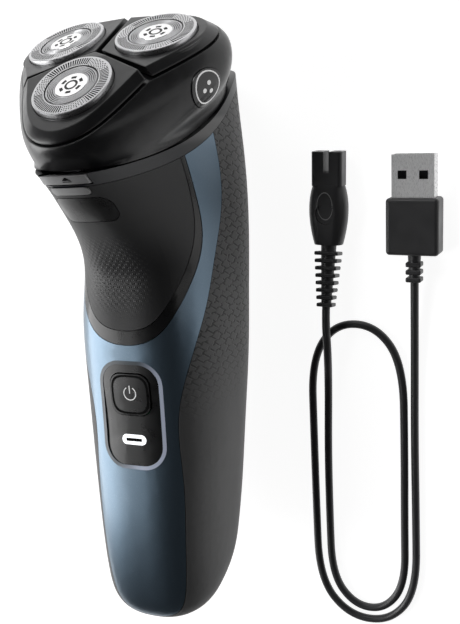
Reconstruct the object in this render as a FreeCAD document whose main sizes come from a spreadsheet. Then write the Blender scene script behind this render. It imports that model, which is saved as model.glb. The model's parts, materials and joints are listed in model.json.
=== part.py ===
"""Rotary electric shaver with its USB charging lead, as separate parts.

Everything on the shaver is drawn upright: X to the right, -Y towards the front, +Z from the
base up to the shaving heads. LAID turns that frame onto its back, the way the shaver rests on
a shelf: front up, heads towards +Y. The lead lies on the same surface, beside it.
"""
import FreeCAD, Part
import math
import os
import Sketcher
from FreeCAD import Placement, Rotation, Vector

os.makedirs("parts", exist_ok=True)
doc = FreeCAD.newDocument("shaver")

# ---------------------------------------------------------------- driving dimensions (mm)
SIZES = {
    # casing
    "wall": 1.6, "seam": 0.16, "rest_depth": 48.0, "mid_height": 83.9, "head_height": 161.3,
    "head_lean": 30.0,
    # control panel on the front
    "panel_width": 18.0, "panel_length": 29.6, "panel_corner": 6.0, "panel_centre": 61.5,
    "rim_width": 1.1, "button_width": 12.4, "button_length": 12.0, "button_corner": 3.4,
    "button_centre": 67.6, "button_travel": 0.8, "pill_width": 7.8, "pill_length": 3.0,
    "pill_centre": 54.2,
    # shaving heads
    "guard_radius": 11.0, "guard_depth": 5.0, "guard_plate": 0.6, "guard_shell": 0.65,
    "groove_outer": 7.5, "groove_inner": 7.1, "groove_depth": 0.35, "disc_radius": 4.5,
    "flange_radius": 11.4, "guard_float": 0.8, "pod_bore": 11.25, "flange_bore": 11.75,
    "skirt_radius": 13.3, "pod_depth": 7.6, "retainer_hole": 8.8,
    "retainer_thick": 0.8, "cutter_radius": 9.8, "hub_radius": 2.4, "hub_depth": 5.4,
    "cutter_disc": 2.4, "blade_inner": 7.3, "blade_top": 0.85, "blade_thick": 0.4,
    "blade_count": 15,
    # drive
    "spindle_reach": 15.65, "drive_root": 8.6, "drive_tip": 9.95, "drive_teeth": 27,
    "spindle_root": 5.45, "spindle_tip": 6.8, "spindle_teeth": 18, "tooth_foot": 0.6,
    "tooth_head": 0.22, "gear_width": 2.4, "spindle_radius": 1.1, "shaft_radius": 1.0,
    "bore_gap": 0.06, "motor_radius": 10.0, "motor_length": 22.0, "motor_shell": 1.0,
    "armature_radius": 6.6,
    # battery, circuit and chassis
    "cell_radius": 7.0, "cell_length": 50.0, "board_width": 22.0, "board_length": 44.0,
    "board_thick": 1.2, "chassis_thick": 1.6,
    # charging inlet
    "inlet_width": 9.8, "inlet_height": 6.2, "inlet_sleeve": 1.4,
    "pin_radius": 0.8, "pin_length": 8.0, "pin_spacing": 6.0,
    # charging lead
    "cord_diameter": 2.4, "usb_width": 12.0, "usb_height": 4.5, "usb_length": 12.0,
    "grip_width": 15.0, "grip_height": 7.6, "grip_length": 16.2, "usb_relief_length": 8.0,
    "plug_width": 9.2, "plug_height": 5.6, "plug_tip": 9.5, "plug_body_width": 11.4,
    "plug_body_length": 17.5, "relief_length": 18.5, "relief_rise": 8.0,
}
sheet = doc.addObject("Spreadsheet::Sheet", "Sizes")
for row, (alias, number) in enumerate(SIZES.items(), start=1):
    sheet.set(f"A{row}", alias)
    sheet.set(f"B{row}", str(number))
    sheet.setAlias(f"B{row}", alias)
doc.recompute()


def read(text):
    """Value of a sum such as 'guard_radius - guard_wall', read from the sheet."""
    total = 0.0
    sign = 1
    for word in text.split():
        if word in "+-":
            sign = 1 if word == "+" else -1
            continue
        total += sign * (float(sheet.get(word)) if word in SIZES else float(word))
        sign = 1
    return total


def bound(text):
    """The same sum as a FreeCAD expression."""
    return " ".join(f"Sizes.{word}" if word in SIZES else word for word in text.split())


def bind(thing, **sums):
    """Set properties of an object to sums of the sheet's cells."""
    for name, text in sums.items():
        thing.setExpression(name, bound(text))


# ---------------------------------------------------------------- frames
LAID = Placement(Vector(0, -read("mid_height"), read("rest_depth")), Rotation(Vector(1, 0, 0), -90))
HEAD = LAID.multiply(
    Placement(Vector(0, 0, read("head_height")), Rotation(Vector(1, 0, 0), read("head_lean"))))
SIDES = {"front": (-90.0, 9.4), "right": (30.0, 4.5), "left": (150.0, 4.5)}
SOCKET_DROP = 4.5        # depth of the point where a head's axis meets its spindle


def turn(axis, degrees, centre=Vector(0, 0, 0)):
    return Placement(centre, Rotation(axis, degrees))


def spindle_frame(side):
    """Head frame turned so that X points outwards to one head, at that head's spindle."""
    angle, _ = SIDES[side]
    return turn(Vector(0, 0, 1), angle).multiply(
        Placement(Vector(read("spindle_reach"), 0, 0), Rotation()))


def ring_frame(side):
    """Frame on the top face of one shaving head, Z along its own axis."""
    _, tilt = SIDES[side]
    reach = read("spindle_reach") + SOCKET_DROP * math.sin(math.radians(tilt))
    rise = SOCKET_DROP * (math.cos(math.radians(tilt)) - 1)
    return turn(Vector(0, 0, 1), SIDES[side][0]).multiply(
        Placement(Vector(reach, 0, rise), Rotation(Vector(0, 1, 0), tilt)))


# ---------------------------------------------------------------- helpers: features
def body(label, placement=LAID):
    made = doc.addObject("PartDesign::Body", label)
    made.Label = label
    made.Placement = placement
    return made


def sketch(owner, role, name):
    made = owner.newObject("Sketcher::SketchObject", name)
    plane = next(item for item in owner.Origin.OriginFeatures if item.Role == role)
    made.AttachmentSupport = [(plane, "")]
    made.MapMode = "FlatFace"
    return made


def dimension(drawing, kind, geometry, end, text):
    number = drawing.addConstraint(
        Sketcher.Constraint(kind, -1, 1, geometry, end, read(text)))
    drawing.setExpression(f"Constraints[{number}]", bound(text))


def outline(drawing, points):
    """Closed straight-sided outline whose corners are sums of the sheet's cells."""
    corners = [Vector(read(across), read(along), 0) for across, along in points]
    count = len(corners)
    first = drawing.GeometryCount
    for index, corner in enumerate(corners):
        drawing.addGeometry(Part.LineSegment(corner, corners[(index + 1) % count]), False)
    for index, (across, along) in enumerate(points):
        line = first + index
        after = first + (index + 1) % count
        drawing.addConstraint(Sketcher.Constraint("Coincident", line, 2, after, 1))
        dimension(drawing, "DistanceX", line, 1, across)
        dimension(drawing, "DistanceY", line, 1, along)


def circle(drawing, radius, across="0", along="0"):
    centre = Vector(read(across), read(along), 0)
    index = drawing.addGeometry(Part.Circle(centre, Vector(0, 0, 1), read(radius)), False)
    number = drawing.addConstraint(Sketcher.Constraint("Radius", index, read(radius)))
    drawing.setExpression(f"Constraints[{number}]", bound(radius))
    dimension(drawing, "DistanceX", index, 3, across)
    dimension(drawing, "DistanceY", index, 3, along)


def pad(owner, drawing, length, both=False, reverse=False):
    made = owner.newObject("PartDesign::Pad", drawing.Name + "Pad")
    made.Profile = drawing
    bind(made, Length=length)
    made.Midplane = both
    made.Reversed = reverse
    return made


def spun(label, points, placement, holes=()):
    """A turned piece: the outline (radius, height) revolved about its own Z."""
    made = body(label, placement)
    drawing = sketch(made, "XZ_Plane", label + "Profile")
    outline(drawing, points)
    solid = made.newObject("PartDesign::Revolution", label + "Turned")
    solid.Profile = drawing
    solid.ReferenceAxis = (drawing, ["V_Axis"])
    solid.Angle = 360
    doc.recompute()
    for radius, depth in holes:
        hole = sketch(made, "XY_Plane", label + "Hole")
        circle(hole, radius)
        cut = made.newObject("PartDesign::Pocket", label + "Bore")
        cut.Profile = hole
        bind(cut, Length=depth)
        cut.Midplane = True
    return made


def cylinder(label, radius, height, placement=Placement()):
    made = doc.addObject("Part::Cylinder", label)
    bind(made, Radius=radius, Height=height)
    made.Placement = placement
    return made


def box(label, length, width, height, placement=Placement()):
    made = doc.addObject("Part::Box", label)
    bind(made, Length=length, Width=width, Height=height)
    made.Placement = placement
    return made


def at(across, deep, high):
    return Placement(Vector(across, deep, high), Rotation())


def cut(label, base, tool, placement=Placement()):
    made = doc.addObject("Part::Cut", label)
    made.Base = base
    made.Tool = tool
    made.Placement = placement
    return made


def fuse(label, pieces, placement=Placement()):
    made = doc.addObject("Part::MultiFuse", label)
    made.Shapes = pieces
    made.Placement = placement
    return made


def together(label, pieces, placement=Placement()):
    made = doc.addObject("Part::Compound", label)
    made.Links = pieces
    made.Placement = placement
    return made


def shaped(label, shape, placement=LAID):
    """A free-form piece, whose shape is computed."""
    made = doc.addObject("Part::Feature", label)
    made.Label = label
    made.Shape = shape.removeSplitter() if shape.ShapeType == "Solid" else shape
    made.Placement = placement
    return made


def solid_of(shape):
    """The largest solid of a boolean's result."""
    return max(shape.Solids, key=lambda item: item.Volume)


# ---------------------------------------------------------------- helpers: free-form casings
def station(front, back, half_width, flare=0.0, power=2.6, grow=0.0):
    """Closed section through two points of the YZ plane.

    front and back are (y, z) of its first and last points, flare widens the back and narrows
    the front by that share, and power squares the corners. grow offsets it outwards.
    """
    front = Vector(0, *front)
    back = Vector(0, *back)
    middle = (front + back) * 0.5
    depth = (back - front).Length / 2 + grow
    along = (back - front).normalize()
    half_width = half_width + grow
    count = 28
    points = []
    for index in range(count):
        angle = 2 * math.pi * index / count
        side = math.copysign(abs(math.cos(angle)) ** (2 / power), math.cos(angle))
        reach = math.copysign(abs(math.sin(angle)) ** (2 / power), math.sin(angle))
        across = half_width * side * (1 + flare * reach)
        points.append(middle + along * (depth * reach) + Vector(across, 0, 0))
    curve = Part.BSplineCurve()
    curve.interpolate(Points=points, PeriodicFlag=True)
    return Part.Wire([curve.toShape()])


def lofted(stations, grow=0.0):
    wires = [station(*values, grow=grow) for values in stations]
    return Part.makeLoft(wires, True, False)


def smooth_curve(points):
    curve = Part.BSplineCurve()
    curve.interpolate([Vector(0, *point) for point in points])
    return curve.toShape()


def side_prism(points, corners, half=45.0):
    """Solid across the whole width: bounded by a smooth YZ curve and then straight corners."""
    edges = [smooth_curve(points)]
    path = [points[-1]] + corners + [points[0]]
    for start, end in zip(path, path[1:]):
        edges.append(Part.LineSegment(Vector(0, *start), Vector(0, *end)).toShape())
    face = Part.Face(Part.Wire(edges))
    face.translate(Vector(-half, 0, 0))
    return face.extrude(Vector(2 * half, 0, 0))


def rounded_rectangle(width, height, corner, centre_height, front=-60.0, back=19.0):
    """Prism along Y with a rounded rectangular outline seen from the front."""
    left = -width / 2
    low = centre_height - height / 2
    block = Part.makeBox(width, back - front, height, Vector(left, front, low))
    upright = [edge for edge in block.Edges if abs(edge.tangentAt(edge.FirstParameter).y) > 0.9]
    return block.makeFillet(corner, upright)


def front_prism(half_outline, front=-60.0, back=19.0):
    """Prism along Y: half_outline is (x, z) from the top right down to the bottom centre."""
    right = [Vector(x, front, z) for x, z in half_outline]
    left = [Vector(-point.x, front, point.z) for point in reversed(right[:-1])]
    curve = Part.BSplineCurve()
    curve.interpolate(right + left)
    closing = Part.LineSegment(left[-1], right[0])
    face = Part.Face(Part.Wire([curve.toShape(), closing.toShape()]))
    return face.extrude(Vector(0, back - front, 0))


# Sections of the handle from its base up to the plane of the shaving unit:
# front (y, z), back (y, z), half width, flare, squareness.
HANDLE = [
    ((5.5, -2.8), (27.4, 6.0), 11.5, 0.0, 2.3),
    ((2.4, -2.2), (32.0, 9.8), 15.4, 0.0, 2.4),
    ((0.0, 0.6), (35.8, 15.0), 17.6, 0.0, 2.6),
    ((-1.6, 8.0), (39.2, 21.5), 18.4, 0.0, 2.8),
    ((-2.2, 24.0), (43.2, 32.0), 18.8, 0.0, 3.0),
    ((-0.8, 46.0), (46.4, 51.0), 20.0, 0.0, 3.1),
    ((0.2, 70.0), (48.0, 73.0), 21.5, 0.05, 3.1),
    ((0.8, 90.0), (48.2, 93.0), 22.2, 0.12, 3.0),
    ((1.2, 102.0), (48.2, 108.0), 22.3, 0.22, 2.8),
    ((-5.6, 112.0), (48.2, 122.0), 22.5, 0.32, 2.6),
    ((-14.4, 121.0), (48.2, 137.0), 22.7, 0.35, 2.5),
    ((-22.2, 129.0), (48.0, 151.0), 22.8, 0.33, 2.5),
    ((-28.0, 137.0), (46.0, 165.0), 22.8, 0.33, 2.5),
]
# Underside of the shaving unit where it meets the handle, seen from the side (y, z).
PARTING = [(-40.0, 129.4), (-21.5, 131.6), (0.0, 135.4), (14.0, 140.2), (25.0, 147.0),
           (31.0, 151.4), (37.0, 153.8), (45.0, 155.4), (54.0, 156.6)]
# Edge between the front casing and the rear grip, seen from the side (y, z).
SPLIT = [(2.0, -12.0), (1.2, 4.0), (1.0, 22.0), (1.9, 42.0), (3.2, 66.0), (8.0, 82.0),
         (14.2, 94.0), (19.2, 106.0), (21.4, 117.0), (20.0, 130.0), (16.0, 143.0), (13.0, 156.0)]


def shifted(points, up):
    return [(y, z + up) for y, z in points]


def above_parting(up):
    return side_prism(shifted(PARTING, up), [(54.0, 230.0), (-40.0, 230.0)])


def below_parting(up):
    return side_prism(shifted(PARTING, up), [(54.0, -30.0), (-40.0, -30.0)])


wall = read("wall")
seam = read("seam")
whole = lofted(HANDLE)
hollow = lofted([HANDLE[index] for index in range(2, len(HANDLE))], grow=-wall)
skin_all = whole.cut(hollow)
collar_height = 3.6
beyond_rest = Part.makeBox(100, 40, 300, Vector(-50, read("rest_depth"), -60))
handle_skin = solid_of(skin_all.common(below_parting(0.0)).cut(beyond_rest))
casing = solid_of(handle_skin.common(below_parting(-collar_height - seam)))
collar_band = solid_of(handle_skin.cut(below_parting(-collar_height)))
front_side = side_prism(SPLIT, [(-70.0, 156.0), (-70.0, -12.0)])
front_side_inner = side_prism([(y - seam, z) for y, z in SPLIT], [(-70.0, 156.0), (-70.0, -12.0)])

# ---------------------------------------------------------------- casing pieces
NECK_OPENING = [(20.6, 150.0), (20.4, 135.0), (20.2, 122.0), (19.6, 110.0), (17.6, 99.0),
                (14.4, 90.5), (9.4, 84.4), (4.0, 82.2), (0.0, 81.8)]
NECK_EDGE = [(20.0, 150.0), (19.9, 135.0), (19.6, 122.0), (18.4, 110.0), (15.6, 99.6),
             (12.2, 92.4), (8.0, 87.8), (3.6, 86.2), (0.0, 85.9)]


def inset(points, gap):
    return [(max(x - gap, 0.0), z + gap if x < 12 else z) for x, z in points]


neck_opening = front_prism(NECK_OPENING)
neck_trim_outside = front_prism(inset(NECK_OPENING, seam))
neck_hole = front_prism(NECK_EDGE)
neck_inside = front_prism(inset(NECK_EDGE, seam))

panel_wide = read("panel_width")
panel_long = read("panel_length")
panel_round = read("panel_corner")
panel_mid = read("panel_centre")
rim = read("rim_width")


def panel_prism(grow):
    return rounded_rectangle(panel_wide + 2 * grow, panel_long + 2 * grow, panel_round + grow, panel_mid)


front_raw = casing.common(front_side_inner).cut(neck_opening).cut(panel_prism(rim))
front_shell = shaped("front_shell", solid_of(front_raw))
neck_trim = shaped("neck_trim", solid_of(
    casing.common(front_side_inner).common(neck_trim_outside).cut(neck_hole)))

REST = (10.8, 2.0, 0.9, 127.0)         # finger rest under the release tab: width, length, corner, height
LABEL = (16.4, 6.8, 2.6, 121.6)        # blank dark label under it


def front_block(size, grow=0.0):
    width, length, corner, high = size
    return rounded_rectangle(width + 2 * grow, length + 2 * grow, corner + grow, high)


neck_full = solid_of(casing.common(front_side_inner).common(neck_inside))
band_hole = front_block(REST, seam)
label_hole = front_block(LABEL, seam)
plate_back = lofted(HANDLE[8:], grow=-0.8)
plate_seat = neck_full.cut(plate_back)
neck_panel = shaped("neck_panel", solid_of(
    neck_full.cut(plate_seat.common(band_hole)).cut(plate_seat.common(label_hole))))
label_plate = shaped("label_plate", solid_of(plate_seat.common(front_block(LABEL))))
band_raised = lofted(HANDLE[8:], grow=0.25).cut(lofted(HANDLE[8:], grow=-0.6))
tab_rest = shaped("tab_rest", solid_of(band_raised.common(front_block(REST))))

panel_rim = shaped("panel_rim", solid_of(
    casing.common(front_side_inner).common(panel_prism(rim - 0.02)).cut(panel_prism(0.0))))
panel_body = solid_of(lofted(HANDLE[4:10], grow=-0.15).cut(lofted(HANDLE[4:10], grow=-2.0))
                      .common(panel_prism(-0.05)))
button_gap = 0.35
button_mid = read("button_centre")
pill_mid = read("pill_centre")


def button_prism(grow, back=19.0):
    return rounded_rectangle(read("button_width") + 2 * grow, read("button_length") + 2 * grow,
                             read("button_corner") + grow, button_mid, back=back)


def pill_prism(grow):
    return rounded_rectangle(read("pill_width") + 2 * grow, read("pill_length") + 2 * grow,
                             read("pill_length") / 2 + grow - 0.01, pill_mid)


control_panel = shaped("control_panel", solid_of(
    panel_body.cut(button_prism(button_gap)).cut(pill_prism(0.0))))
light_guide = shaped("light_guide", solid_of(
    lofted(HANDLE[4:10], grow=-0.05).cut(lofted(HANDLE[4:10], grow=-2.6)).common(pill_prism(-0.03))))
button_cap = solid_of(
    lofted(HANDLE[4:10], grow=0.2).common(button_prism(0.0)).common(
        Part.makeBox(40, 30, 60, Vector(-20, -20, 50)).cut(
            Part.makeBox(40, 30, 60, Vector(-20, 3.2, 50)))))
button_stem = Part.makeCylinder(1.4, 1.45, Vector(0, 3.0, button_mid), Vector(0, 1, 0))
power_button = shaped("power_button", solid_of(button_cap.fuse(button_stem)))

# ---------------------------------------------------------------- rear grip and collar
inlet_mid = 16.5
inlet_top = 12.4


def inlet_box(grow, low, high):
    wide = read("inlet_width") + 2 * grow
    deep = read("inlet_height") + 2 * grow
    return Part.makeBox(wide, deep, high - low, Vector(-wide / 2, inlet_mid - deep / 2, low))


sleeve = read("inlet_sleeve")
inlet_block = inlet_box(sleeve, -20.0, 30.0)
rear_raw = casing.cut(front_side)
rear_grip = shaped("rear_grip", solid_of(rear_raw.cut(inlet_block)))

TAB_LOW = 129.0
TAB_HIGH = 131.2
TAB_HALF = 6.7
tab_slot = Part.makeBox(2 * TAB_HALF + 0.7, 40, 10, Vector(-TAB_HALF - 0.35, -40, TAB_LOW - 0.35))
collar = shaped("collar", solid_of(collar_band.cut(tab_slot)))
tab_front = lofted(HANDLE[8:], grow=0.6).common(
    Part.makeBox(2 * TAB_HALF, 14, TAB_HIGH - TAB_LOW, Vector(-TAB_HALF, -30, TAB_LOW)))
tab_stem = Part.makeBox(5, 3, TAB_HIGH - TAB_LOW, Vector(-2.5, -16.2, TAB_LOW))
release_tab = shaped("release_tab", solid_of(tab_front.fuse(tab_stem)))


# ---------------------------------------------------------------- charging inlet
inlet_raw = whole.common(inlet_box(sleeve, -20.0, inlet_top + 1.6))
inlet_socket = shaped("inlet_socket", solid_of(inlet_raw.cut(inlet_box(0.0, -20.0, inlet_top))))
inlet_pins = together("inlet_pins", [
    cylinder("pin_left", "pin_radius", "pin_length", at(-read("pin_spacing") / 2, inlet_mid, inlet_top - 8.0)),
    cylinder("pin_right", "pin_radius", "pin_length", at(read("pin_spacing") / 2, inlet_mid, inlet_top - 8.0)),
], LAID)

# ---------------------------------------------------------------- chassis, battery, circuit
chassis_front = 8.3
inner_frame = body("inner_frame")
frame_sketch = sketch(inner_frame, "XZ_Plane", "FrameOutline")
outline(frame_sketch, [("- 12.6", "18.0"), ("12.6", "18.0"), ("14.0", "56.0"), ("12.6", "95.0"),
                       ("- 12.6", "95.0"), ("- 14.0", "56.0")])
frame_pad = pad(inner_frame, frame_sketch, "chassis_thick", reverse=True)
inner_frame.Placement = LAID.multiply(at(0, chassis_front, 0))

battery_mid = 22.0
battery = cylinder("battery", "cell_radius", "cell_length",
                   LAID.multiply(at(0, battery_mid, 30.0)))
battery_tabs = together("battery_tabs", [
    cylinder("tab_low", "cell_radius - 1.0", "0.5", at(0, battery_mid, 29.4)),
    cylinder("tab_high", "cell_radius - 1.0", "0.5", at(0, battery_mid, 80.1)),
], LAID)
board = box("board", "board_width", "board_thick", "board_length", at(-11.0, 7.1, 42.0))
chip = box("chip", "6.0", "0.9", "6.0", at(3.0, 6.35, 44.0))
status_led = box("status_led", "3.0", "1.3", "1.6", at(-1.5, 5.9, read("pill_centre") - 0.8))
circuit_board = fuse("circuit_board", [board, chip, status_led], LAID)
switch_case = box("switch_case", "6.0", "1.6", "6.0", at(-3.0, 5.5, read("button_centre") - 3.0))
tact_switch = fuse("tact_switch", [
    switch_case,
    cylinder("switch_stem", "1.0", "0.3", Placement(Vector(0, 5.6, read("button_centre")),
                                                  Rotation(Vector(1, 0, 0), 90))),
], LAID)


def screws(places, radius, length):
    """Small pan-head screws; each place is the centre of a head, driven along -Z."""
    pieces = []
    for number, (across, deep) in enumerate(places):
        head = cylinder(f"head{number}_{length}", "1.6", "1.0", at(across, deep, 0.0))
        shank = cylinder(f"shank{number}_{length}", radius, length, at(across, deep, -float(length)))
        pieces.append(fuse(f"screw{number}_{length}", [head, shank]))
    return pieces


# ---------------------------------------------------------------- springs and seals
def coil(label, radius, wire, pitch, height, placement):
    """Compression spring swept along a helix."""
    helix = Part.makeHelix(pitch, height, radius)
    start = Vector(radius, 0, 0)
    ring = Part.Wire(Part.Circle(start, Vector(0, 1, 0), wire / 2).toShape())
    return shaped(label, Part.Wire(helix).makePipeShell([ring], True, True), placement)


button_spring = coil("button_spring", 2.2, 0.35, 0.62, 1.8, LAID.multiply(
    Placement(Vector(0, 3.45, read("button_centre")), Rotation(Vector(1, 0, 0), -90))))
release_spring = coil("release_spring", 0.9, 0.36, 0.8, 3.1, LAID.multiply(
    Placement(Vector(0, -12.95, (TAB_LOW + TAB_HIGH) / 2), Rotation(Vector(1, 0, 0), -90))))

# ---------------------------------------------------------------- deck, gearbox and hinge
LOBE = 7.8                      # radius of the gearbox around each spindle


def lobes(radius, low, high, middle):
    """Three round lobes around the spindles and a round middle, along the head's axis."""
    shape = Part.makeCylinder(middle, high - low, Vector(0, 0, low))
    for angle, _ in SIDES.values():
        turned = math.radians(angle)
        centre = Vector(read("spindle_reach") * math.cos(turned),
                        read("spindle_reach") * math.sin(turned), low)
        shape = shape.fuse(Part.makeCylinder(radius, high - low, centre))
    return shape.removeSplitter()


GEAR_LOW = -22.4                # underside of the gears, below the plane of the heads
GEAR_HIGH = GEAR_LOW + read("gear_width")
BOX_LOW = -24.2
BOX_HIGH = -18.4
SPINDLE_TOP = -6.6
BOX_SCREWS = [(0.0, 9.4), (-8.2, -4.7), (8.2, -4.7)]
head_local = LAID.inverse().multiply(HEAD)
turret = lobes(LOBE, BOX_LOW, BOX_HIGH, 11.4)
turret_room = lobes(LOBE + 0.2, BOX_LOW - 0.2, BOX_HIGH + 20, 11.6)
cover_inside = lobes(LOBE - 0.6, BOX_LOW - 1, GEAR_HIGH + 0.5, 10.7)
cover = turret.cut(cover_inside)
for side in SIDES:
    place = spindle_frame(side)
    hole = Part.makeCylinder(read("spindle_radius") + read("bore_gap"), 60, Vector(0, 0, -50))
    hole.Placement = place
    cover = cover.cut(hole)
for across, deep in BOX_SCREWS:
    cover = cover.cut(Part.makeCylinder(0.8, 4, Vector(across, deep, BOX_HIGH - 3)))
gearbox_cover = shaped("gearbox_cover", solid_of(cover), HEAD)
base_plate = lobes(LOBE - 0.65, BOX_LOW, BOX_LOW + 1.4, 10.65)
base_plate = base_plate.cut(Part.makeCylinder(read("shaft_radius") + read("bore_gap"), 60, Vector(0, 0, -50)))
for side in SIDES:
    hole = Part.makeCylinder(read("spindle_radius") + read("bore_gap"), 60, Vector(0, 0, -50))
    hole.Placement = spindle_frame(side)
    base_plate = base_plate.cut(hole)
gearbox_base = shaped("gearbox_base", solid_of(base_plate), HEAD)

turret_hole = turret_room.fuse(
    Part.makeCylinder(read("motor_radius") + 0.4, 40, Vector(0, 0, BOX_LOW - 38)))
turret_hole.Placement = head_local
deck_line = [(-8.0, 131.1), (0.0, 132.6), (14.0, 137.4), (25.0, 144.1), (31.0, 148.6), (37.0, 151.0), (50.0, 153.2)]


def deck_prism(low_points, high_points):
    """Solid across the whole width between two bent lines seen from the side (y, z)."""
    corners = [Vector(-45, *place) for place in low_points + high_points[::-1]]
    return Part.Face(Part.makePolygon(corners + [corners[0]])).extrude(Vector(90, 0, 0))


deck_band = deck_prism(shifted(deck_line, -1.4), deck_line)
deck = shaped("deck", solid_of(hollow.common(deck_band.cut(turret_hole))))

HINGE = (43.0, 158.0)           # hinge of the shaving unit (y, z)
pin_turn = Rotation(Vector(0, 1, 0), 90)
hinge_pin = cylinder("hinge_pin", "0.9", "19.0", LAID.multiply(
    Placement(Vector(-9.5, *HINGE), pin_turn)))


def lug(left, right):
    """Ear of the handle that holds one end of the hinge pin."""
    barrel = Part.makeCylinder(1.9, right - left, Vector(left, *HINGE), Vector(1, 0, 0))
    foot = Part.makeBox(right - left, 3.0, 8.0, Vector(left, HINGE[0] - 1.1, HINGE[1] - 8.0))
    return barrel.fuse(foot).cut(
        Part.makeCylinder(0.9, 40, Vector(-20, *HINGE), Vector(1, 0, 0)))


under_deck = deck_prism(shifted(deck_line, -40.0), deck_line)
lug_pair = [solid_of(lug(left, left + 3.5).cut(under_deck)) for left in (-9.5, 6.0)]
hinge_lugs = shaped("hinge_lugs", Part.makeCompound(lug_pair))

# ---------------------------------------------------------------- motor and gears
MOTOR_TOP = BOX_LOW - 0.05
motor_frame = HEAD.multiply(at(0, 0, MOTOR_TOP))
motor_can = spun("motor_can", [
    ("shaft_radius + bore_gap", "0"), ("motor_radius", "0"), ("motor_radius", "- motor_length"),
    ("shaft_radius + bore_gap", "- motor_length"),
    ("shaft_radius + bore_gap", "- motor_length + motor_shell"),
    ("motor_radius - motor_shell", "- motor_length + motor_shell"),
    ("motor_radius - motor_shell", "- motor_shell"), ("shaft_radius + bore_gap", "- motor_shell"),
], motor_frame)
magnet_ring = Part.makeCylinder(9.0, 14, Vector(0, 0, -18)).cut(
    Part.makeCylinder(7.2, 14, Vector(0, 0, -18)))
magnet_ring = magnet_ring.cut(Part.makeBox(40, 6, 40, Vector(-20, -3, -30)))
motor_magnets = shaped("motor_magnets", magnet_ring, motor_frame)
motor_armature = spun("motor_armature", [
    ("shaft_radius", "- 4.5"), ("armature_radius", "- 4.5"), ("armature_radius", "- 17.5"),
    ("shaft_radius", "- 17.5"),
], motor_frame)
motor_shaft = cylinder("motor_shaft", "shaft_radius", "motor_length + 5.0",
                       HEAD.multiply(at(0, 0, MOTOR_TOP - 23.0)))


def gear(label, root, tip, teeth, hole, placement):
    """Spur gear: a disc, one tooth along +X and its polar pattern, with a bore."""
    made = body(label, placement)
    disc = sketch(made, "XY_Plane", label + "Disc")
    circle(disc, root)
    circle(disc, hole)
    pad(made, disc, "gear_width")
    tooth = sketch(made, "XY_Plane", label + "Tooth")
    outline(tooth, [(root + " - 0.2", "- tooth_foot"), (tip, "- tooth_head"), (tip, "tooth_head"),
                    (root + " - 0.2", "tooth_foot")])
    tooth_pad = pad(made, tooth, "gear_width")
    doc.recompute()
    pattern = made.newObject("PartDesign::PolarPattern", label + "Teeth")
    pattern.Originals = [tooth_pad]
    pattern.Axis = (disc, ["N_Axis"])
    pattern.Angle = 360
    bind(pattern, Occurrences=teeth)
    made.Tip = pattern
    return made


drive_gear = gear("drive_gear", "drive_root", "drive_tip", "drive_teeth", "shaft_radius",
                  HEAD.multiply(turn(Vector(0, 0, 1), -90, Vector(0, 0, GEAR_LOW))))
spindle_gears = {}
spindles = {}
half_pitch = 180 / read("spindle_teeth")
for side in SIDES:
    place = HEAD.multiply(spindle_frame(side))
    spindle_gears[side] = gear(f"spindle_gear_{side}", "spindle_root", "spindle_tip", "spindle_teeth",
                               "spindle_radius",
                               place.multiply(turn(Vector(0, 0, 1), half_pitch, Vector(0, 0, GEAR_LOW))))
    long = cylinder(f"spindle_rod_{side}", "spindle_radius", "17.0", at(0, 0, BOX_LOW + 0.1))
    dog = doc.addObject("Part::Prism", f"spindle_dog_{side}")
    dog.Polygon = 6
    dog.Circumradius = 1.7
    dog.Height = 2.4
    dog.Placement = at(0, 0, SPINDLE_TOP - 2.4)
    spindles[side] = fuse(f"spindle_{side}", [long, dog], place)

seal_rings = []
for side in SIDES:
    ring = doc.addObject("Part::Torus", f"seal_ring_{side}")
    ring.Radius1 = 2.0
    ring.Radius2 = 0.55
    ring.Placement = spindle_frame(side).multiply(at(0, 0, BOX_HIGH + 0.55))
    seal_rings.append(ring)
spindle_seals = together("spindle_seals", seal_rings, HEAD)
box_screws = together("gearbox_screws", screws(BOX_SCREWS, "0.8", "1.0"),
                      HEAD.multiply(at(0, 0, BOX_HIGH)))

# ---------------------------------------------------------------- shaving unit
def trilobe(low, lobe, waist, grow=0.0):
    """Rounded triangle around the head's axis: straight sides at the waist, round lobes."""
    points = []
    count = 48
    for index in range(count):
        angle = 2 * math.pi * index / count
        off = abs((angle + math.pi / 2 + math.pi / 3) % (2 * math.pi / 3) - math.pi / 3)
        line = waist / math.cos(math.pi / 3 - off)
        reach = (line ** -9 + lobe ** -9) ** (-1 / 9) + grow
        points.append(Vector(reach * math.cos(angle), reach * math.sin(angle), low))
    curve = Part.BSplineCurve()
    curve.interpolate(Points=points, PeriodicFlag=True)
    wire = Part.Wire([curve.toShape()])
    wire.Placement = head_local
    return wire


UNIT_FOOT = ((-20.8, 124.0), (41.2, 148.0), 21.8, 0.33, 2.5)
UNIT_SEAT = ((-22.8, 130.0), (41.0, 153.6), 22.6, 0.31, 2.5)
# Height below the head plane, reach of the lobes, reach of the flat sides.
UNIT_RINGS = [(-13.6, 33.0, 26.0), (-7.6, 33.8, 25.0), (-3.6, 31.0, 22.4), (-1.4, 28.6, 20.5), (0.6, 26.4, 18.6)]


def unit_loft(grow):
    wires = [station(*UNIT_FOOT, grow=grow), station(*UNIT_SEAT, grow=grow)]
    wires += [trilobe(*ring, grow=grow) for ring in UNIT_RINGS]
    return Part.makeLoft(wires, True, False)


unit_outer = unit_loft(0.0).common(above_parting(0.5))
unit_inner = unit_loft(-1.7)


def ring_local(side):
    return head_local.multiply(ring_frame(side))


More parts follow.
